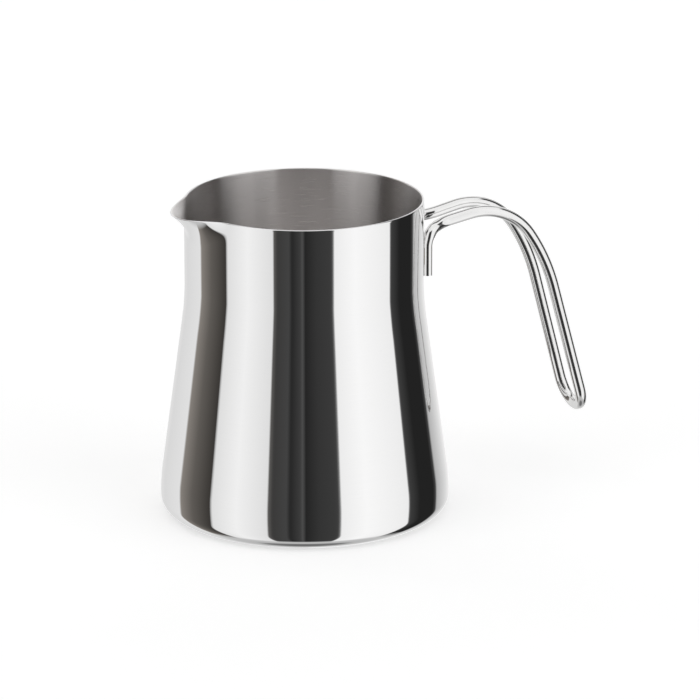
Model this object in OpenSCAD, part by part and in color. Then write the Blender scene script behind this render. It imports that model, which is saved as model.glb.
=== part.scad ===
// Milk frothing pitcher: a drawn steel vessel with a pressed pouring lip, and a wire loop handle welded to its neck.
// The origin is the centre of the face it stands on, +Z is up, +X points along the handle, the lip is at -X.

/* [Vessel] */
// Outer width across the widest part of the body, just above the heel
body_d = 100; // [90:1:120]
// Outer width of the straight neck
neck_d = 82; // [72:1:86]
// Height from the resting face to the rim
height = 110; // [100:1:140]
// Length of the straight neck, measured down from the rim
neck_len = 28; // [24:1:36]
// Radius of the hollow curve where the neck starts to flare
waist_r = 100; // [60:1:140]
// Radius of the bulging curve of the lower body, seen from the side
belly_r = 72; // [50:1:90]
// Radius of the rounded edge between the side and the base
heel_r = 5; // [3:0.5:8]
// Thickness of the drawn sheet
sheet_t = 0.8; // [0.6:0.1:1.2]

/* [Pouring lip] */
// How far the tip of the lip stands out beyond the neck
lip_reach = 7; // [5:0.5:11]
// How far below the rim the lip starts to leave the neck
lip_depth = 12; // [10:0.5:16]
// Width of the lip where it meets the rim
lip_w = 31; // [26:1:36]

/* [Handle] */
// Thickness of the round wire
wire_d = 4; // [3:0.1:5]
// Distance between the middles of the two feet
foot_pitch = 19; // [15:0.5:22]
// Distance between the middles of the two wires where they come closest, just off the neck
near_pitch = 11.5; // [9:0.5:13]
// Distance between the middles of the two wires where the loop closes
loop_pitch = 16.5; // [14:0.5:20]
// How far the feet reach below the straight part of the neck
foot_drop = 1; // [0:0.5:3]
// Length of the flattened feet
foot_len = 12.6; // [11:0.2:15]
// Width of the flattened feet
foot_w = 4.8; // [4.4:0.1:6]
// Thickness of the flattened feet
foot_t = 3; // [2:0.1:3.6]
// Middle-line radius of the bend that turns the wire away from the neck
root_r = 4.5; // [3.5:0.5:6]
// Angle at which the wire rises away from the neck
rise_a = 12; // [5:1:20]
// Length of the rise up to where the wires come closest
root_len = 4.5; // [4:0.5:8]
// Radius of the sideways bend there
near_r = 9; // [6:0.5:12]
// Length of the rise beyond it
rise_len = 10; // [7:0.2:14]
// Radius of the tight curve over the top
shoulder_r = 21.5; // [16:0.5:30]
// Downward angle where the tight curve gives way to the wide one
shoulder_a = 56; // [45:1:65]
// Radius of the wide curve behind the knuckles
back_r = 68; // [50:1:90]
// Downward angle of the straight lower run
drop_a = 74.8; // [68:0.2:80]
// Length of the straight lower run
drop_len = 40; // [28:0.5:46]

/* [Welds] */
// Gap between foot and neck that the weld fills
weld_t = 0.3; // [0.2:0.1:0.6]
// Width of each weld
weld_w = 4; // [3:0.1:4.4]
// Height of each weld
weld_h = 6; // [4:0.5:8]

/* [Hidden] */
$fn = 96;
arc_steps = 24;
past = 5;
body_r = body_d / 2;
neck_r = neck_d / 2;
neck_z = height - neck_len;

// The straight flank of the body touches both the belly curve and the waist curve.
// On a short, wide body both curves tighten to fit between the heel and the neck.
flank_in = body_r - neck_r;
flank_dz = neck_z - heel_r;
curve_room = (pow(flank_in, 2) + pow(flank_dz, 2)) / 2 / flank_in;
curve_fit = min(1, 0.95 * curve_room / (waist_r + belly_r));
waist_arc_r = waist_r * curve_fit;
belly_arc_r = belly_r * curve_fit;
arcs_r = waist_arc_r + belly_arc_r;
flank_a = atan2(flank_dz, arcs_r - flank_in) - acos(arcs_r / norm([arcs_r - flank_in, flank_dz]));

// The lip is the end of a leaning cone: its outer slope runs out to the tip, its inner slope stays in the mouth.
lip_root = 1;
lip_out_a = atan((lip_reach + lip_root) / lip_depth);
lip_in_a = -5;
lip_lean = (lip_out_a + lip_in_a) / 2;
lip_taper = (lip_out_a - lip_in_a) / 2;
lip_slope = tan(lip_taper) / cos(lip_lean);
lip_root_r = (lip_w / 2 - lip_depth * lip_slope) / (1 - tan(lip_lean) * tan(lip_taper));
lip_len = lip_depth / cos(lip_lean) + lip_w / 2;

// The flattened feet and the round wire above them both lie against the welds' outer faces.
// Bars lap over the ends of the bends by a hair, and the bends are a hair thinner, so that their faces cross cleanly.
lap = 0.05;
bend_d = wire_d - 0.02;
foot_in_r = neck_r + weld_t;
foot_out_r = foot_in_r + foot_t;
foot_z = neck_z - foot_drop;
wire_axis_r = foot_in_r + wire_d / 2;
leg_x = sqrt(pow(wire_axis_r, 2) - pow(foot_pitch / 2, 2));
leg_top_z = foot_z + foot_len - 1;
leg_len = 0.5;
ramp_len = 2;

// Side view of the wire as far as its sideways bend: [distance from the leg, height] at the end of each stretch.
function arc_centre(from, r, a) = from + r * [sin(a), -cos(a)];
function arc_end(from, r, a0, a1) = arc_centre(from, r, a0) + r * [-sin(a1), cos(a1)];
function run_end(from, len, a) = from + len * [cos(a), sin(a)];
p_leg = [0, leg_top_z];
p_root = arc_end(p_leg, root_r, 90, rise_a);
p_near = run_end(p_root, root_len, rise_a);

// Side view of the rest of the wire: [distance from the sideways bend, height].
p_rise = [0, p_near[1]];
p_top = run_end(p_rise, rise_len, rise_a);
p_back = arc_end(p_top, shoulder_r, rise_a, -shoulder_a);
p_drop = arc_end(p_back, back_r, -shoulder_a, -drop_a);
p_loop = run_end(p_drop, drop_len, -drop_a);

// From the feet the wires run towards each other, then spread evenly to the loop.
toe_a = asin((foot_pitch - near_pitch) / 2 / p_near[0]);
spread_a = asin((loop_pitch - near_pitch) / 2 / p_loop[0]);
near_x = leg_x + p_near[0] * cos(toe_a);
near_turn_a = (toe_a + spread_a) / 2;
near_half_a = asin(cos(rise_a) * sin(near_turn_a));
near_tilt_a = atan2(sin(rise_a), cos(rise_a) * cos(near_turn_a));
near_cut = min(near_r * tan(near_half_a), 0.8 * root_len);
near_arc_r = near_cut / tan(near_half_a);

// The loop is an arc that meets both wires end to end.
loop_out_a = asin(cos(drop_a) * sin(spread_a));
loop_tilt_a = atan2(sin(drop_a), cos(drop_a) * cos(spread_a));
loop_r = loop_pitch / 2 / cos(loop_out_a);

// Outline of the vessel's side, from the heel up to the rim, moved inwards by inset.
function side_outline(inset) = concat(
    [for (i = [0 : arc_steps]) let (a = 90 - i * 90 / arc_steps)
        [body_r - heel_r + (heel_r - inset) * cos(a), heel_r - (heel_r - inset) * sin(a)]],
    [for (i = [1 : arc_steps]) let (a = i * flank_a / arc_steps)
        [body_r - belly_arc_r + (belly_arc_r - inset) * cos(a), heel_r + (belly_arc_r - inset) * sin(a)]],
    [for (i = [0 : arc_steps]) let (a = flank_a - i * flank_a / arc_steps)
        [neck_r + waist_arc_r - (waist_arc_r + inset) * cos(a), neck_z - (waist_arc_r + inset) * sin(a)]]
);

module vessel_solid(inset, top_z) {
    rotate_extrude()
        polygon(concat([[0, inset]], side_outline(inset), [[neck_r - inset, top_z], [0, top_z]]));
}

// Leaning cone of the lip. It starts inside the mouth and passes above the rim.
module lip_cone(inset) {
    cone_r = lip_root_r - inset / cos(lip_taper);
    translate([lip_root - neck_r + lip_root_r * cos(lip_lean), 0, height - lip_depth + lip_root_r * sin(lip_lean)])
        rotate([0, -lip_lean, 0])
            cylinder(h = lip_len, r1 = cone_r, r2 = cone_r + lip_len * tan(lip_taper));
}

module vessel() {
    color("gainsboro")
    difference() {
        union() {
            vessel_solid(0, height);
            intersection() {
                lip_cone(0);
                translate([-body_d, -body_d, 0])
                    cube([2 * body_d, 2 * body_d, height]);
            }
        }
        vessel_solid(sheet_t, height + past);
        lip_cone(sheet_t);
    }
}

// Round bar that runs from a point of the side view in the direction a.
module bar(from, len, a) {
    translate([from[0], 0, from[1]])
        rotate([0, 90 - a, 0])
            translate([0, 0, -lap])
                cylinder(h = len + 2 * lap, d = wire_d);
}

// Round bar bent clockwise in the side view, from direction a0 to direction a1.
module bend(from, r, a0, a1) {
    centre = arc_centre(from, r, a0);
    translate([centre[0], 0, centre[1]])
        rotate([90, 0, 0])
            rotate([0, 0, 90 + a1])
                rotate_extrude(angle = a0 - a1)
                    translate([r, 0])
                        circle(d = bend_d);
}

// A patch of a tube around the neck, standing over the foot on the given side.
module neck_patch(side, r_in, r_out, width, z0, tall) {
    foot_turn = side * asin(foot_pitch / 2 / wire_axis_r);
    intersection() {
        difference() {
            translate([0, 0, z0])
                cylinder(h = tall, r = r_out);
            translate([0, 0, z0 - past])
                cylinder(h = tall + 2 * past, r = r_in);
        }
        rotate([0, 0, foot_turn])
            translate([0, -width / 2, z0])
                cube([body_d, width, tall]);
    }
}

// The sideways bend, in the plane of the two straight stretches that it joins.
module near_bend(side) {
    translate([near_x, side * near_pitch / 2, p_near[1]])
        rotate([0, 0, side * (spread_a - toe_a) / 2])
            rotate([0, -near_tilt_a, 0])
                translate([0, side * near_arc_r / cos(near_half_a), 0])
                    rotate([0, 0, -side * 90 - near_half_a])
                        rotate_extrude(angle = 2 * near_half_a)
                            translate([near_arc_r, 0])
                                circle(d = bend_d);
}

// One of the two wires, with its flattened foot.
module wire(side) {
    neck_patch(side, foot_in_r, foot_out_r, foot_w, foot_z, foot_len);
    translate([leg_x, side * foot_pitch / 2, 0])
        rotate([0, 0, -side * toe_a]) {
            translate([0, 0, leg_top_z - leg_len - ramp_len])
                cylinder(h = ramp_len, d1 = 0.5, d2 = bend_d);
            bar([0, leg_top_z - leg_len], leg_len, 90);
            bend(p_leg, root_r, 90, rise_a);
            bar(p_root, root_len - near_cut, rise_a);
        }
    near_bend(side);
    translate([near_x, side * near_pitch / 2, 0])
        rotate([0, 0, side * spread_a]) {
            bar(run_end(p_rise, near_cut, rise_a), rise_len - near_cut, rise_a);
            bend(p_top, shoulder_r, rise_a, -shoulder_a);
            bar(p_back, 0, -shoulder_a);
            bend(p_back, back_r, -shoulder_a, -drop_a);
            bar(p_drop, drop_len, -drop_a);
        }
}

module loop_end() {
    translate([near_x + p_loop[0] * cos(spread_a), 0, p_loop[1]])
        rotate([0, loop_tilt_a, 0])
            translate([loop_r * sin(loop_out_a), 0, 0])
                rotate([0, 0, -90 - loop_out_a])
                    rotate_extrude(angle = 180 + 2 * loop_out_a)
                        translate([loop_r, 0])
                            circle(d = bend_d);
}

module handle() {
    color("silver")
    union() {
        for (side = [-1, 1])
            wire(side);
        loop_end();
    }
}

// The weld sits at the middle of the length of foot that lies on the straight neck.
module weld(side) {
    weld_z = (neck_z + foot_z + foot_len - weld_h) / 2;
    neck_patch(side, neck_r, foot_in_r, weld_w, weld_z, weld_h);
}

module front_weld() {
    color("darkgray") weld(-1);
}

module rear_weld() {
    color("darkgray") weld(1);
}

vessel();
handle();
front_weld();
rear_weld();
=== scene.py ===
"""Milk frothing pitcher: a polished steel vessel with a pressed lip and a bent wire handle."""

import math

import bpy
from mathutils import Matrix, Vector


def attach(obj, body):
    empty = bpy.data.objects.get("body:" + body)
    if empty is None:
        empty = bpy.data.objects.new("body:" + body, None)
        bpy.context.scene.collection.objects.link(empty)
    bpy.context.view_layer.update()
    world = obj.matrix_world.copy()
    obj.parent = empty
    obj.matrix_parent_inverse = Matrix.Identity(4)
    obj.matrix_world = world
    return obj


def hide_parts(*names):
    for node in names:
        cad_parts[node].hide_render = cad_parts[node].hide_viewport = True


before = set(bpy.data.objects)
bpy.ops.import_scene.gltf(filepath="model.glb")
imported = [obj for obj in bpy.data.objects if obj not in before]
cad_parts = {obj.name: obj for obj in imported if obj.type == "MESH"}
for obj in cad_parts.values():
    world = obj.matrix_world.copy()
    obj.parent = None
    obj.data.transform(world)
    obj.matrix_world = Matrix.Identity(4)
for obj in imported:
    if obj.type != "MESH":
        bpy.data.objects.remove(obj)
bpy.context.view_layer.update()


# --- Vessel -----------------------------------------------------------------------------------------
# One drawn shell of stainless sheet: straight neck, flared body, rounded heel and flat base. The
# pouring lip is pressed out of the rim, which dips a little around it. The outside is buffed to a
# mirror and the inside keeps a satin finish. It is turned here from its side outline.
MM = 0.001
BODY_R = 50 * MM
NECK_R = 41 * MM
HEIGHT = 110 * MM
NECK_LEN = 28 * MM
WAIST_R = 100 * MM
BELLY_R = 72 * MM
HEEL_R = 5 * MM
SHEET = 0.8 * MM
LIP_REACH = 7 * MM
LIP_DIP = 1.3 * MM
LIP_DEPTH = 12 * MM
LIP_HALF_ANGLE = math.radians(30)
LIP_SIDE_DEPTH = 0.6
LIP_CURL = 1.8
TURN_STEPS = 320
BARE_Z = HEIGHT - 1.2 * LIP_DEPTH


def arc(centre, radius, start, end, steps):
    """Points of an arc about centre, angles in radians from +X, with both ends."""
    angles = [start + (end - start) * i / steps for i in range(steps + 1)]
    return [(centre[0] + radius * math.cos(a), centre[1] + radius * math.sin(a)) for a in angles]


def line(start, end, steps):
    """Points along a straight stretch, without its ends."""
    return [
        (start[0] + (end[0] - start[0]) * i / steps, start[1] + (end[1] - start[1]) * i / steps)
        for i in range(1, steps)
    ]


def side_outline(inset):
    """The vessel's side from the heel up to the neck, moved inwards by inset."""
    neck_z = HEIGHT - NECK_LEN
    dx = (NECK_R + WAIST_R) - (BODY_R - BELLY_R)
    dz = neck_z - HEEL_R
    flank = math.atan2(dz, dx) - math.acos((WAIST_R + BELLY_R) / math.hypot(dx, dz))
    heel = arc((BODY_R - HEEL_R, HEEL_R), HEEL_R - inset, -math.pi / 2, 0, 16)
    belly = arc((BODY_R - BELLY_R, HEEL_R), BELLY_R - inset, 0, flank, 16)
    waist = arc((NECK_R + WAIST_R, neck_z), WAIST_R + inset, math.pi + flank, math.pi, 20)
    return heel + belly[1:] + line(belly[-1], waist[0], 16) + waist


def shell_outline():
    """Outside of the base, up the side, over the rounded rim and back down the inside.

    Rows lie close together above BARE_Z, where the lip is pressed. Also gives the number of the point at
    the top of the rim, where the inside begins.
    """
    outside = side_outline(0)
    inside = side_outline(SHEET)
    rim_z = HEIGHT - SHEET / 2
    rim = arc((NECK_R - SHEET / 2, rim_z), SHEET / 2, 0, math.pi, 10)
    outer = (NECK_R, BARE_Z)
    inner = (NECK_R - SHEET, BARE_Z)
    out = [(0, 0)] + line((0, 0), outside[0], 8) + outside
    out += line(outside[-1], outer, 8) + [outer] + line(outer, rim[0], 40) + rim
    turn = len(out) - len(rim) // 2
    out += line(rim[-1], inner, 40) + [inner] + line(inner, inside[-1], 8) + inside[::-1]
    return out + line(inside[0], (0, SHEET), 8) + [(0, SHEET)], turn


def node(tree, kind, inputs=(), **settings):
    """Adds a node, sets its settings, and links or sets its inputs."""
    made = tree.nodes.new(kind)
    for name, value in settings.items():
        setattr(made, name, value)
    for name, value in dict(inputs).items():
        if isinstance(value, bpy.types.NodeSocket):
            tree.links.new(value, made.inputs[name])
        else:
            made.inputs[name].default_value = value
    return made


def maths(tree, operation, *values):
    """A math node's result."""
    return node(tree, "ShaderNodeMath", dict(enumerate(values)), operation=operation).outputs[0]


def grown(name, outline_mesh, tree, values):
    """Runs a geometry tree on a mesh of edges and returns the plain mesh object that it makes."""
    seed = bpy.data.objects.new(name + "_outline", outline_mesh)
    bpy.context.scene.collection.objects.link(seed)
    modifier = seed.modifiers.new(name, "NODES")
    modifier.node_group = tree
    for item in tree.interface.items_tree:
        if item.item_type == "SOCKET" and item.in_out == "INPUT" and item.name in values:
            modifier[item.identifier] = values[item.name]
    evaluated = seed.evaluated_get(bpy.context.evaluated_depsgraph_get())
    mesh = bpy.data.meshes.new_from_object(evaluated)
    mesh.name = name
    bpy.data.objects.remove(seed)
    made = bpy.data.objects.new(name, mesh)
    bpy.context.scene.collection.objects.link(made)
    return made


def edge_mesh(name, points):
    """A mesh of edges only, that runs through the points."""
    mesh = bpy.data.meshes.new(name)
    mesh.from_pydata(points, [(i, i + 1) for i in range(len(points) - 1)], [])
    return mesh


def brushed(tree, scale, strength):
    """Fine rings round the vessel's axis, as a grain from 0 to 1 and as a bumped normal.

    Height and radius are stretched far more than the angle, which draws the noise out into rings.
    """
    place = node(tree, "ShaderNodeTexCoord").outputs["Object"]
    axes = node(tree, "ShaderNodeSeparateXYZ", {0: place}).outputs
    radius = maths(tree, "SQRT", maths(tree, "ADD", maths(tree, "MULTIPLY", axes[0], axes[0]),
                                       maths(tree, "MULTIPLY", axes[1], axes[1])))
    across = maths(tree, "MULTIPLY", maths(tree, "ADD", radius, axes[2]), scale)
    around = maths(tree, "MULTIPLY", maths(tree, "ARCTAN2", axes[1], axes[0]), 3.0)
    grain_at = node(tree, "ShaderNodeCombineXYZ", {0: across, 1: around}).outputs[0]
    grain = node(tree, "ShaderNodeTexNoise", {"Vector": grain_at, "Scale": 1.0, "Detail": 4.0})
    bump = node(tree, "ShaderNodeBump",
                {"Height": grain.outputs[0], "Strength": strength, "Distance": 0.0002})
    return grain.outputs[0], bump.outputs[0]


def steel(name, colour, shade, rough, rough_spread, ringed, grain_scale, grain_bump):
    """Bare steel with its finish: colour and roughness both vary a little with the polishing grain.

    ringed, from 0 to 1, is how far the rings left by turning smear reflections up and down.
    """
    material = bpy.data.materials.new(name)
    material.use_nodes = True
    tree = material.node_tree
    shader = tree.nodes["Principled BSDF"]
    shader.inputs["Metallic"].default_value = 1.0
    grain, normal = brushed(tree, grain_scale, grain_bump)
    tint = node(tree, "ShaderNodeMix", {"Factor": grain}, data_type="RGBA")
    tint.inputs["A"].default_value = (*[c * shade for c in colour], 1)
    tint.inputs["B"].default_value = (*colour, 1)
    tree.links.new(tint.outputs["Result"], shader.inputs["Base Color"])
    spread = node(tree, "ShaderNodeMapRange",
                  {"Value": grain, "To Min": rough, "To Max": rough + rough_spread})
    tree.links.new(spread.outputs[0], shader.inputs["Roughness"])
    tree.links.new(normal, shader.inputs["Normal"])
    if ringed:
        place = node(tree, "ShaderNodeTexCoord").outputs["Object"]
        ring = node(tree, "ShaderNodeVectorMath", {0: (0, 0, 1), 1: place},
                    operation="CROSS_PRODUCT").outputs[0]
        facing = node(tree, "ShaderNodeNewGeometry").outputs["Normal"]
        across = node(tree, "ShaderNodeVectorMath", {0: facing, 1: ring},
                      operation="CROSS_PRODUCT").outputs[0]
        upwards = node(tree, "ShaderNodeVectorMath", {0: across}, operation="NORMALIZE").outputs[0]
        tree.links.new(upwards, shader.inputs["Tangent"])
        shader.inputs["Anisotropic"].default_value = ringed
    return material


mirror_steel = steel("mirror_steel", (0.93, 0.928, 0.928), 0.97, 0.01, 0.02, 0, 4000, 0.01)
satin_steel = steel("satin_steel", (0.93, 0.905, 0.895), 0.9, 0.26, 0.04, 1.0, 9000, 0.05)


def turned_shell_tree():
    """Turns an outline about the vertical axis, then presses the pouring lip out of its rim."""
    tree = bpy.data.node_groups.new("turned_shell", "GeometryNodeTree")
    sockets = tree.interface.new_socket
    sockets("Outline", in_out="INPUT", socket_type="NodeSocketGeometry")
    for name in ("Turn Radius", "Rim Height", "Lip Reach", "Lip Dip", "Lip Depth", "Lip Side Depth",
                 "Lip Curl", "Lip Half Angle"):
        sockets(name, in_out="INPUT", socket_type="NodeSocketFloat")
    sockets("Steps", in_out="INPUT", socket_type="NodeSocketInt")
    sockets("Outside", in_out="INPUT", socket_type="NodeSocketMaterial")
    sockets("Inside", in_out="INPUT", socket_type="NodeSocketMaterial")
    sockets("Shell", in_out="OUTPUT", socket_type="NodeSocketGeometry")
    given = node(tree, "NodeGroupInput").outputs
    outline = node(tree, "GeometryNodeMeshToCurve", {"Mesh": given["Outline"]}).outputs[0]
    ring = node(tree, "GeometryNodeCurvePrimitiveCircle",
                {"Resolution": given["Steps"], "Radius": given["Turn Radius"]}).outputs[0]
    turned = node(tree, "GeometryNodeCurveToMesh", {"Curve": ring, "Profile Curve": outline}).outputs[0]
    closed = node(tree, "GeometryNodeMergeByDistance", {"Geometry": turned, "Distance": 1e-6}).outputs[0]
    place = node(tree, "GeometryNodeInputPosition").outputs[0]
    axes = node(tree, "ShaderNodeSeparateXYZ", {0: place}).outputs
    off_lip = maths(tree, "ABSOLUTE", maths(tree, "ARCTAN2", axes[1], maths(tree, "MULTIPLY", axes[0], -1.0)))
    sideways = node(tree, "ShaderNodeMapRange",
                    {"Value": off_lip, "From Min": given["Lip Half Angle"], "From Max": 0.0},
                    interpolation_type="SMOOTHSTEP").outputs[0]
    shallow = node(tree, "ShaderNodeMapRange",
                   {"Value": sideways, "To Min": given["Lip Side Depth"]}).outputs[0]
    lip_foot = maths(tree, "SUBTRACT", given["Rim Height"],
                     maths(tree, "MULTIPLY", given["Lip Depth"], shallow))
    risen = node(tree, "ShaderNodeMapRange",
                 {"Value": axes[2], "From Min": lip_foot, "From Max": given["Rim Height"]}).outputs[0]
    upwards = maths(tree, "POWER", risen, given["Lip Curl"])
    pressed = maths(tree, "MULTIPLY", sideways, upwards)
    flat = node(tree, "ShaderNodeCombineXYZ", {0: axes[0], 1: axes[1]}).outputs[0]
    outwards = node(tree, "ShaderNodeVectorMath", {0: flat}, operation="NORMALIZE").outputs[0]
    reach = node(tree, "ShaderNodeVectorMath",
                 {0: outwards, "Scale": maths(tree, "MULTIPLY", pressed, given["Lip Reach"])},
                 operation="SCALE").outputs[0]
    drop = maths(tree, "MULTIPLY", maths(tree, "MULTIPLY", pressed, given["Lip Dip"]), -1.0)
    dip = node(tree, "ShaderNodeCombineXYZ", {2: drop}).outputs[0]
    move = node(tree, "ShaderNodeVectorMath", {0: reach, 1: dip}, operation="ADD").outputs[0]
    lipped = node(tree, "GeometryNodeSetPosition", {"Geometry": closed, "Offset": move}).outputs[0]
    smooth = node(tree, "GeometryNodeSetShadeSmooth", {"Geometry": lipped}).outputs[0]
    real = node(tree, "GeometryNodeRealizeInstances", {"Geometry": smooth}).outputs[0]
    buffed = node(tree, "GeometryNodeSetMaterial",
                  {"Geometry": real, "Material": given["Outside"]}).outputs[0]
    inner = node(tree, "GeometryNodeInputNamedAttribute", {"Name": "inner"},
                 data_type="FLOAT").outputs["Attribute"]
    is_inner = node(tree, "FunctionNodeCompare", {"A": inner, "B": 0.5}, operation="GREATER_THAN").outputs[0]
    done = node(tree, "GeometryNodeSetMaterial",
                {"Geometry": buffed, "Selection": is_inner, "Material": given["Inside"]}).outputs[0]
    node(tree, "NodeGroupOutput", {"Shell": done})
    return tree


points, turn_at = shell_outline()
outline_mesh = edge_mesh("shell_outline", [(r - BODY_R, -z, 0) for r, z in reversed(points)])
inner = outline_mesh.attributes.new("inner", "FLOAT", "POINT")
inner.data.foreach_set("value", [float(i >= turn_at) for i in reversed(range(len(points)))])
vessel = grown("vessel_shell", outline_mesh, turned_shell_tree(), {
    "Turn Radius": BODY_R, "Rim Height": HEIGHT, "Lip Reach": LIP_REACH, "Lip Dip": LIP_DIP,
    "Lip Depth": LIP_DEPTH, "Lip Side Depth": LIP_SIDE_DEPTH, "Lip Curl": LIP_CURL,
    "Lip Half Angle": LIP_HALF_ANGLE, "Steps": TURN_STEPS,
    "Outside": mirror_steel, "Inside": satin_steel,
})
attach(vessel, "root")
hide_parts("vessel")


# --- Handle -----------------------------------------------------------------------------------------
# One length of round steel wire, bent into a long narrow loop that stands out from the neck. It is
# polished after bending. Both ends are pressed flat into feet, curved to lie against the neck.
WIRE_R = 2 * MM
FOOT_PITCH = 19 * MM
NEAR_PITCH = 11.5 * MM
LOOP_PITCH = 16.5 * MM
FOOT_Z = 81 * MM
FOOT_LEN = 12.6 * MM
FOOT_W = 4.8 * MM
FOOT_T = 3 * MM
WELD_GAP = 0.3 * MM
FOOT_END = 1 * MM
ROOT_R = 4.5 * MM
RISE = math.radians(12)
ROOT_LEN = 4.5 * MM
NEAR_R = 9 * MM
RISE_LEN = 10 * MM
SHOULDER_R = 21.5 * MM
SHOULDER = math.radians(56)
BACK_R = 68 * MM
DROP = math.radians(74.8)
DROP_LEN = 40 * MM
FLAT_SHARE = 0.72
WIRE_SIDES = 32
WIRE_STEP = 0.6 * MM
FOOT_MID_R = NECK_R + WELD_GAP + FOOT_T / 2
WIRE_AXIS_R = NECK_R + WELD_GAP + WIRE_R
LEG_X = math.sqrt(WIRE_AXIS_R ** 2 - (FOOT_PITCH / 2) ** 2)


def bent(start, radius, turn_from, turn_to):
    """A clockwise bend in the side view that sets off from start, without its first point."""
    centre = (start[0] + radius * math.sin(turn_from), start[1] - radius * math.cos(turn_from))
    up = math.pi / 2
    return arc(centre, radius, turn_from + up, turn_to + up, 24)[1:]


def ahead(start, length, direction):
    """The end of a straight run."""
    return start[0] + length * math.cos(direction), start[1] + length * math.sin(direction)


def root_run():
    """Side view from the end of the foot up to the sideways bend: (distance from the leg, height)."""
    run = [(0, FOOT_Z), (0, FOOT_Z + FOOT_LEN - FOOT_END)]
    run += bent(run[-1], ROOT_R, math.pi / 2, RISE)
    return run + [ahead(run[-1], ROOT_LEN, RISE)]


def long_run(height):
    """Side view from the sideways bend to where the loop closes: (distance from that bend, height)."""
    run = [(0, height), ahead((0, height), RISE_LEN, RISE)]
    run += bent(run[-1], SHOULDER_R, RISE, -SHOULDER)
    run += bent(run[-1], BACK_R, -SHOULDER, -DROP)
    return run + [ahead(run[-1], DROP_LEN, -DROP)]


def rounded_corner(before, corner, after, radius):
    """Points of the bend that replaces a corner between two straight stretches."""
    corner = Vector(corner)
    inward = (corner - Vector(before)).normalized()
    outward = (Vector(after) - corner).normalized()
    half = inward.angle(outward) / 2
    centre = corner + (outward - inward).normalized() * radius / math.cos(half)
    spoke = (centre - corner).normalized() * -radius
    forward = (inward + outward).normalized() * radius
    angles = [half * i / 8 for i in range(-8, 9)]
    return [tuple(centre + spoke * math.cos(a) + forward * math.sin(a)) for a in angles]


def wire_line():
    """The whole centreline: up the rear wire, round the loop and back down the front wire.

    toe turns each wire's root inwards and spread turns its long run outwards. splay and tilt are how far the
    wire then leans sideways and down where the loop closes, which sets the plane and the radius of the loop.
    """
    first = root_run()
    near, height = first[-1]
    toe = math.asin((FOOT_PITCH - NEAR_PITCH) / 2 / near)
    second = long_run(height)
    far, low = second[-1]
    spread = math.asin((LOOP_PITCH - NEAR_PITCH) / 2 / far)
    near_x = LEG_X + near * math.cos(toe)
    rear = [(LEG_X + d * math.cos(toe), FOOT_PITCH / 2 - d * math.sin(toe), z) for d, z in first[:-1]]
    onward = [(near_x + d * math.cos(spread), NEAR_PITCH / 2 + d * math.sin(spread), z) for d, z in second]
    rear += rounded_corner(rear[-1], onward[0], onward[1], NEAR_R) + onward[1:]
    splay = math.asin(math.cos(DROP) * math.sin(spread))
    tilt = math.atan2(math.sin(DROP), math.cos(DROP) * math.cos(spread))
    radius = LOOP_PITCH / 2 / math.cos(splay)
    half = math.pi / 2 + splay
    loop = [
        (rear[-1][0] + x * math.cos(tilt), y, low - x * math.sin(tilt))
        for x, y in arc((radius * math.sin(splay), 0), radius, half, -half, 40)
    ]
    front = [(x, -y, z) for x, y, z in reversed(rear)]
    return rear + loop[1:-1] + front


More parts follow.
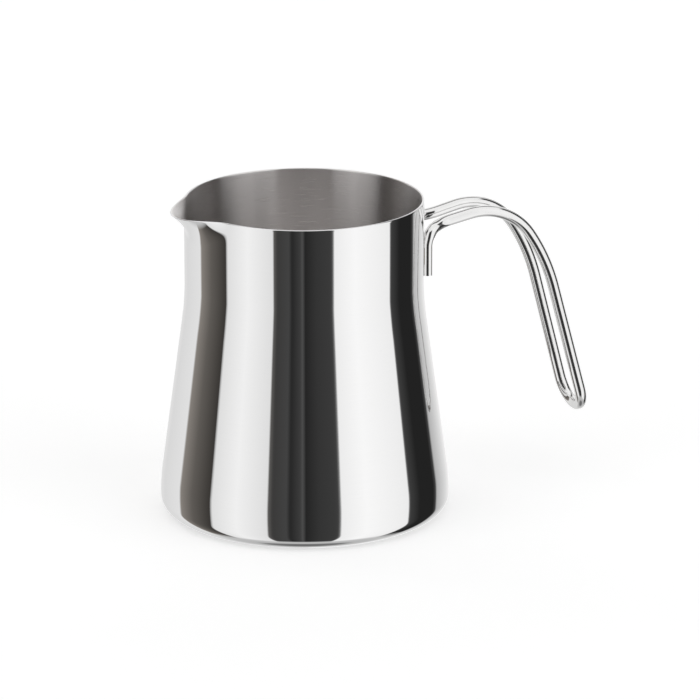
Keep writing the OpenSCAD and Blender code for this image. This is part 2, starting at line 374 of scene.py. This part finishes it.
def pressed_wire_tree():
    """Sweeps a round wire along a line, rounds off its ends, and presses both feet to the neck.

    What lies beyond FLAT_SHARE of the wire's radius, towards the neck and away from it, is pressed flat.
    """
    tree = bpy.data.node_groups.new("pressed_wire", "GeometryNodeTree")
    sockets = tree.interface.new_socket
    sockets("Line", in_out="INPUT", socket_type="NodeSocketGeometry")
    for name in ("Wire Radius", "Step", "Foot Angle", "Axis Radius", "Foot Radius", "Foot Thickness",
                 "Foot Width", "Pressed Below", "Round Above"):
        sockets(name, in_out="INPUT", socket_type="NodeSocketFloat")
    sockets("Sides", in_out="INPUT", socket_type="NodeSocketInt")
    sockets("Steel", in_out="INPUT", socket_type="NodeSocketMaterial")
    sockets("Wire", in_out="OUTPUT", socket_type="NodeSocketGeometry")
    given = node(tree, "NodeGroupInput").outputs
    radius = given["Wire Radius"]
    line_curve = node(tree, "GeometryNodeMeshToCurve", {"Mesh": given["Line"]}).outputs[0]
    even = node(tree, "GeometryNodeResampleCurve", {"Curve": line_curve, "Length": given["Step"]},
                mode="LENGTH").outputs[0]
    travelled = node(tree, "GeometryNodeSplineParameter").outputs["Length"]
    whole = node(tree, "GeometryNodeSplineLength").outputs["Length"]
    from_end = maths(tree, "MINIMUM", travelled, maths(tree, "SUBTRACT", whole, travelled))
    short = maths(tree, "MAXIMUM", maths(tree, "SUBTRACT", 1.0, maths(tree, "DIVIDE", from_end, radius)), 0.0)
    cut = maths(tree, "SQRT", maths(tree, "SUBTRACT", 1.02, maths(tree, "MULTIPLY", short, short)))
    rounded = maths(tree, "MINIMUM", cut, 1.0)
    tapered = node(tree, "GeometryNodeSetCurveRadius", {"Curve": even, "Radius": rounded}).outputs[0]
    marked = node(tree, "GeometryNodeStoreNamedAttribute",
                  {"Geometry": tapered, "Name": "along", "Value": travelled}, data_type="FLOAT").outputs[0]
    circle = node(tree, "GeometryNodeCurvePrimitiveCircle",
                  {"Resolution": given["Sides"], "Radius": radius}).outputs[0]
    place = node(tree, "GeometryNodeInputPosition").outputs[0]
    facing = node(tree, "ShaderNodeVectorMath", {0: place}, operation="NORMALIZE").outputs[0]
    profile = node(tree, "GeometryNodeStoreNamedAttribute",
                   {"Geometry": circle, "Name": "around", "Value": facing},
                   data_type="FLOAT_VECTOR").outputs[0]
    swept = node(tree, "GeometryNodeCurveToMesh",
                 {"Curve": marked, "Profile Curve": profile, "Fill Caps": True}).outputs[0]
    axes = node(tree, "ShaderNodeSeparateXYZ", {0: place}).outputs
    from_axis = maths(tree, "SQRT", maths(tree, "ADD", maths(tree, "MULTIPLY", axes[0], axes[0]),
                                          maths(tree, "MULTIPLY", axes[1], axes[1])))
    turn = maths(tree, "ARCTAN2", axes[1], axes[0])
    foot_turn = maths(tree, "MULTIPLY", maths(tree, "SIGN", axes[1]), given["Foot Angle"])
    outwards = maths(tree, "DIVIDE", maths(tree, "SUBTRACT", from_axis, given["Axis Radius"]), radius)
    flat = node(tree, "ShaderNodeMapRange", {
        "Value": outwards, "From Min": -FLAT_SHARE, "From Max": FLAT_SHARE, "To Min": -0.5, "To Max": 0.5,
    }).outputs[0]
    pressed_r = maths(tree, "ADD", given["Foot Radius"],
                      maths(tree, "MULTIPLY", flat, given["Foot Thickness"]))
    wider = maths(tree, "DIVIDE", given["Foot Width"], maths(tree, "MULTIPLY", radius, 2.0))
    pressed_turn = maths(tree, "ADD", foot_turn,
                         maths(tree, "MULTIPLY", maths(tree, "SUBTRACT", turn, foot_turn), wider))
    pressed = node(tree, "ShaderNodeCombineXYZ", {
        0: maths(tree, "MULTIPLY", pressed_r, maths(tree, "COSINE", pressed_turn)),
        1: maths(tree, "MULTIPLY", pressed_r, maths(tree, "SINE", pressed_turn)),
        2: axes[2],
    }).outputs[0]
    low = node(tree, "ShaderNodeMapRange",
               {"Value": axes[2], "From Min": given["Round Above"], "From Max": given["Pressed Below"]},
               interpolation_type="SMOOTHSTEP").outputs[0]
    near = maths(tree, "LESS_THAN", from_axis, maths(tree, "ADD", given["Axis Radius"], maths(
        tree, "MULTIPLY", radius, 2.0)))
    blend = node(tree, "ShaderNodeMix", {"Factor": maths(tree, "MULTIPLY", low, near)}, data_type="VECTOR")
    tree.links.new(place, blend.inputs[4])
    tree.links.new(pressed, blend.inputs[5])
    footed = node(tree, "GeometryNodeSetPosition",
                  {"Geometry": swept, "Position": blend.outputs[1]}).outputs[0]
    smooth = node(tree, "GeometryNodeSetShadeSmooth", {"Geometry": footed}).outputs[0]
    real = node(tree, "GeometryNodeRealizeInstances", {"Geometry": smooth}).outputs[0]
    done = node(tree, "GeometryNodeSetMaterial", {"Geometry": real, "Material": given["Steel"]}).outputs[0]
    node(tree, "NodeGroupOutput", {"Wire": done})
    return tree


def polished_wire():
    """Buffed wire: faint drawing lines run along it, with a little unevenness in the polish."""
    material = bpy.data.materials.new("wire_steel")
    material.use_nodes = True
    tree = material.node_tree
    shader = tree.nodes["Principled BSDF"]
    shader.inputs["Metallic"].default_value = 1.0
    along = node(tree, "ShaderNodeAttribute", attribute_name="along").outputs["Fac"]
    around = node(tree, "ShaderNodeAttribute", attribute_name="around").outputs["Vector"]
    stretched = node(tree, "ShaderNodeCombineXYZ", {2: maths(tree, "MULTIPLY", along, 60.0)}).outputs[0]
    spread = node(tree, "ShaderNodeVectorMath", {0: around, "Scale": 7.0}, operation="SCALE").outputs[0]
    grain_at = node(tree, "ShaderNodeVectorMath", {0: spread, 1: stretched}, operation="ADD").outputs[0]
    lines = node(tree, "ShaderNodeTexNoise", {"Vector": grain_at, "Scale": 1.0, "Detail": 5.0}).outputs[0]
    place = node(tree, "ShaderNodeTexCoord").outputs["Object"]
    haze = node(tree, "ShaderNodeTexNoise", {"Vector": place, "Scale": 220.0, "Detail": 3.0}).outputs[0]
    tint = node(tree, "ShaderNodeMix", {"Factor": haze}, data_type="RGBA")
    tint.inputs["A"].default_value = (0.84, 0.835, 0.83, 1)
    tint.inputs["B"].default_value = (0.9, 0.897, 0.893, 1)
    tree.links.new(tint.outputs["Result"], shader.inputs["Base Color"])
    rough = node(tree, "ShaderNodeMapRange", {"Value": haze, "To Min": 0.04, "To Max": 0.1}).outputs[0]
    tree.links.new(rough, shader.inputs["Roughness"])
    bump = node(tree, "ShaderNodeBump", {"Height": lines, "Strength": 0.05, "Distance": 0.0001}).outputs[0]
    tree.links.new(bump, shader.inputs["Normal"])
    return material


wire = grown("handle_wire", edge_mesh("wire_line", wire_line()), pressed_wire_tree(), {
    "Wire Radius": WIRE_R, "Step": WIRE_STEP, "Foot Angle": math.asin(FOOT_PITCH / 2 / WIRE_AXIS_R),
    "Axis Radius": WIRE_AXIS_R, "Foot Radius": FOOT_MID_R, "Foot Thickness": FOOT_T, "Foot Width": FOOT_W,
    "Pressed Below": FOOT_Z + FOOT_LEN - 2 * FOOT_END, "Round Above": FOOT_Z + FOOT_LEN + FOOT_END,
    "Sides": WIRE_SIDES, "Steel": polished_wire(),
})
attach(wire, "root")
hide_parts("handle")


# --- Welds ------------------------------------------------------------------------------------------
# Two resistance welds, one behind each foot, where foot and neck were fused. The metal is dull, and
# the heat has left straw and blue tints in it.
def heated_steel():
    """Dull fused steel with heat tints in patches of a few millimetres."""
    material = bpy.data.materials.new("heated_steel")
    material.use_nodes = True
    tree = material.node_tree
    shader = tree.nodes["Principled BSDF"]
    shader.inputs["Metallic"].default_value = 1.0
    place = node(tree, "ShaderNodeTexCoord").outputs["Object"]
    patches = node(tree, "ShaderNodeTexNoise", {"Vector": place, "Scale": 300.0, "Detail": 3.0}).outputs[0]
    tints = node(tree, "ShaderNodeValToRGB", {"Fac": patches})
    tints.color_ramp.elements[0].color = (0.16, 0.15, 0.2, 1)
    tints.color_ramp.elements[0].position = 0.35
    tints.color_ramp.elements[1].color = (0.42, 0.4, 0.37, 1)
    tints.color_ramp.elements[1].position = 0.65
    tints.color_ramp.elements.new(0.5).color = (0.36, 0.27, 0.17, 1)
    tree.links.new(tints.outputs[0], shader.inputs["Base Color"])
    rough = node(tree, "ShaderNodeMapRange", {"Value": patches, "To Min": 0.4, "To Max": 0.65}).outputs[0]
    tree.links.new(rough, shader.inputs["Roughness"])
    grit = node(tree, "ShaderNodeTexNoise", {"Vector": place, "Scale": 2500.0, "Detail": 4.0}).outputs[0]
    bump = node(tree, "ShaderNodeBump", {"Height": grit, "Strength": 0.4, "Distance": 0.0001}).outputs[0]
    tree.links.new(bump, shader.inputs["Normal"])
    return material


weld_finish = heated_steel()
for name in ("front_weld", "rear_weld"):
    weld = bpy.data.objects[name]
    for slot in weld.material_slots:
        slot.material = weld_finish


# --- Table and studio -------------------------------------------------------------------------------
# A plain pale table in a white studio. Tall white panels stand round it with dark gaps between them,
# which is what the polished sides mirror. A soft light hangs overhead, with a dark edge behind it.
VIEW_TURN = math.radians(22.3)
VIEW_DROP = 0.3
VIEW_FAR = 1.5
VIEW_ASIDE = 15.66 * MM
VIEW_HEIGHT = 55.9 * MM
LENS = 224
TABLE_R = 4.0
TABLE_GLOW = 0.48
STEEL_SHOWS = 0.92


def round_sheet(name, radius, steps):
    """A flat round sheet at the height of the resting face."""
    mesh = bpy.data.meshes.new(name)
    ring = [(radius * math.cos(2 * math.pi * i / steps), radius * math.sin(2 * math.pi * i / steps), 0)
            for i in range(steps)]
    mesh.from_pydata(ring, [], [list(range(steps))])
    made = bpy.data.objects.new(name, mesh)
    bpy.context.scene.collection.objects.link(made)
    return made


table = round_sheet("table", TABLE_R, 64)
table_finish = bpy.data.materials.new("pale_table")
table_finish.use_nodes = True
tree = table_finish.node_tree
tree.nodes.remove(tree.nodes["Principled BSDF"])
rays = node(tree, "ShaderNodeLightPath").outputs
matt = node(tree, "ShaderNodeBsdfDiffuse", {"Color": (0.8, 0.8, 0.8, 1)})
glow = node(tree, "ShaderNodeEmission", {
    "Strength": maths(tree, "MULTIPLY", rays["Is Camera Ray"], TABLE_GLOW)})
both = node(tree, "ShaderNodeAddShader", {0: matt.outputs[0], 1: glow.outputs[0]})
tree.links.new(both.outputs[0], tree.nodes["Material Output"].inputs[0])
table.data.materials.append(table_finish)
# The steel doesn't mirror the table; the studio's painted floor stands in for it, with painted shade straight
# down.
table.visible_glossy = False


def grey(level):
    """A display grey from 0 to 255 as a linear colour."""
    value = level / 255
    return ((value + 0.055) / 1.055) ** 2.4 if value > 0.04 else value / 12.92


def warm(level, tint):
    """The colour of a panel that shows as this grey on the steel, redder by the tint.

    Polished steel gives back STEEL_SHOWS of the light of what it mirrors.
    """
    value = grey(level) / STEEL_SHOWS
    return value * (1 + tint), value, value * (1 - tint), 1


def between(tree, value, low, high):
    """0 where the value is below low and 1 where it is above high."""
    return node(tree, "ShaderNodeMapRange", {"Value": value, "From Min": low, "From Max": high}).outputs[0]


def mixed(tree, factor, first, second):
    """The first colour where the factor is 0 and the second where it is 1, each a colour or a socket."""
    made = node(tree, "ShaderNodeMix", {"Factor": factor}, data_type="RGBA")
    for name, colour in (("A", first), ("B", second)):
        if isinstance(colour, bpy.types.NodeSocket):
            tree.links.new(colour, made.inputs[name])
        else:
            made.inputs[name].default_value = colour
    return made.outputs["Result"]


def shaded(tree, value, stops):
    """A colour ramp over the value, from (place, level, tint) stops in rising order, from 0 to 1."""
    made = node(tree, "ShaderNodeValToRGB", {"Fac": value})
    elements = made.color_ramp.elements
    elements[0].color = warm(*stops[0][1:])
    elements[1].color = warm(*stops[-1][1:])
    for place, level, tint in stops[1:-1]:
        elements.new(place).color = warm(level, tint)
    return made.outputs[0]


# Degrees from the camera, less than 0 to its left, with the grey that each panel or gap shows there
# and its tint.
panel_stops = [
    (-180, 224, 0), (-150, 214, 0), (-118, 224, 0), (-116, 128, 0.09), (-100, 90, 0.09), (-80, 54, 0.09),
    (-78, 222, 0), (-55, 240, 0), (-29.5, 222, 0), (-28.5, 92, 0.04), (-25, 58, 0.02), (-14, 66, 0),
    (-11, 38, 0), (-3, 60, 0), (-1, 80, 0), (1, 36, 0), (12, 52, 0), (25, 58, 0), (28, 70, 0),
    (28.8, 236, 0), (50, 248, 0), (90.3, 236, 0), (91.5, 62, 0), (104, 34, 0), (124, 34, 0),
    (128, 66, 0), (131, 180, 0), (150, 212, 0), (180, 246, 0),
]
# The same from straight down, 0, up to where the panels take over, 1: a painted reflection of the table,
# darkest straight down as painted shadow of the vessel on it.
painted_floor_stops = [(0, 105, 0), (0.08, 120, 0), (0.14, 180, 0), (1, 218, 0)]

world = bpy.data.worlds.new("studio")
bpy.context.scene.world = world
world.use_nodes = True
tree = world.node_tree
direction = node(tree, "ShaderNodeTexCoord").outputs["Generated"]
toward = node(tree, "ShaderNodeSeparateXYZ", {0: direction}).outputs
bearing = maths(tree, "SUBTRACT", maths(tree, "ARCTAN2", toward[1], toward[0]),
                math.atan2(-math.cos(VIEW_TURN), -math.sin(VIEW_TURN)) - math.pi)
turned = maths(tree, "FRACT", maths(tree, "DIVIDE", bearing, 2 * math.pi))
panels = shaded(tree, turned, [((degrees + 180) / 360, level, tint) for degrees, level, tint in panel_stops])
farther = maths(tree, "ADD", maths(tree, "MULTIPLY", toward[0], math.sin(VIEW_TURN)),
                maths(tree, "MULTIPLY", toward[1], math.cos(VIEW_TURN)))
overhead = mixed(tree, between(tree, farther, 0.36, 0.44), warm(240, 0), warm(80, 0.04))
upper = mixed(tree, between(tree, toward[2], 0.72, 0.78), panels, overhead)
# Painted reflection of the table below the panels, darker straight down as painted shade.
below = shaded(tree, between(tree, toward[2], -1.0, -0.6), painted_floor_stops)
studio = mixed(tree, between(tree, toward[2], -0.86, -0.76), below, upper)
rays = node(tree, "ShaderNodeLightPath").outputs
seen = mixed(tree, rays["Is Camera Ray"], studio, (1, 1, 1, 1))
tree.links.new(seen, tree.nodes["Background"].inputs["Color"])

camera = bpy.data.objects.new("camera", bpy.data.cameras.new("camera"))
bpy.context.scene.collection.objects.link(camera)
camera.data.lens = LENS
camera.data.clip_start = 0.01
back = VIEW_FAR * math.cos(VIEW_DROP)
camera.location = (
    VIEW_ASIDE * math.cos(VIEW_TURN) - back * math.sin(VIEW_TURN),
    -VIEW_ASIDE * math.sin(VIEW_TURN) - back * math.cos(VIEW_TURN),
    VIEW_HEIGHT + VIEW_FAR * math.sin(VIEW_DROP),
)
camera.rotation_euler = (math.pi / 2 - VIEW_DROP, 0, -VIEW_TURN)
bpy.context.scene.camera = camera
bpy.context.scene.view_settings.view_transform = "Standard"
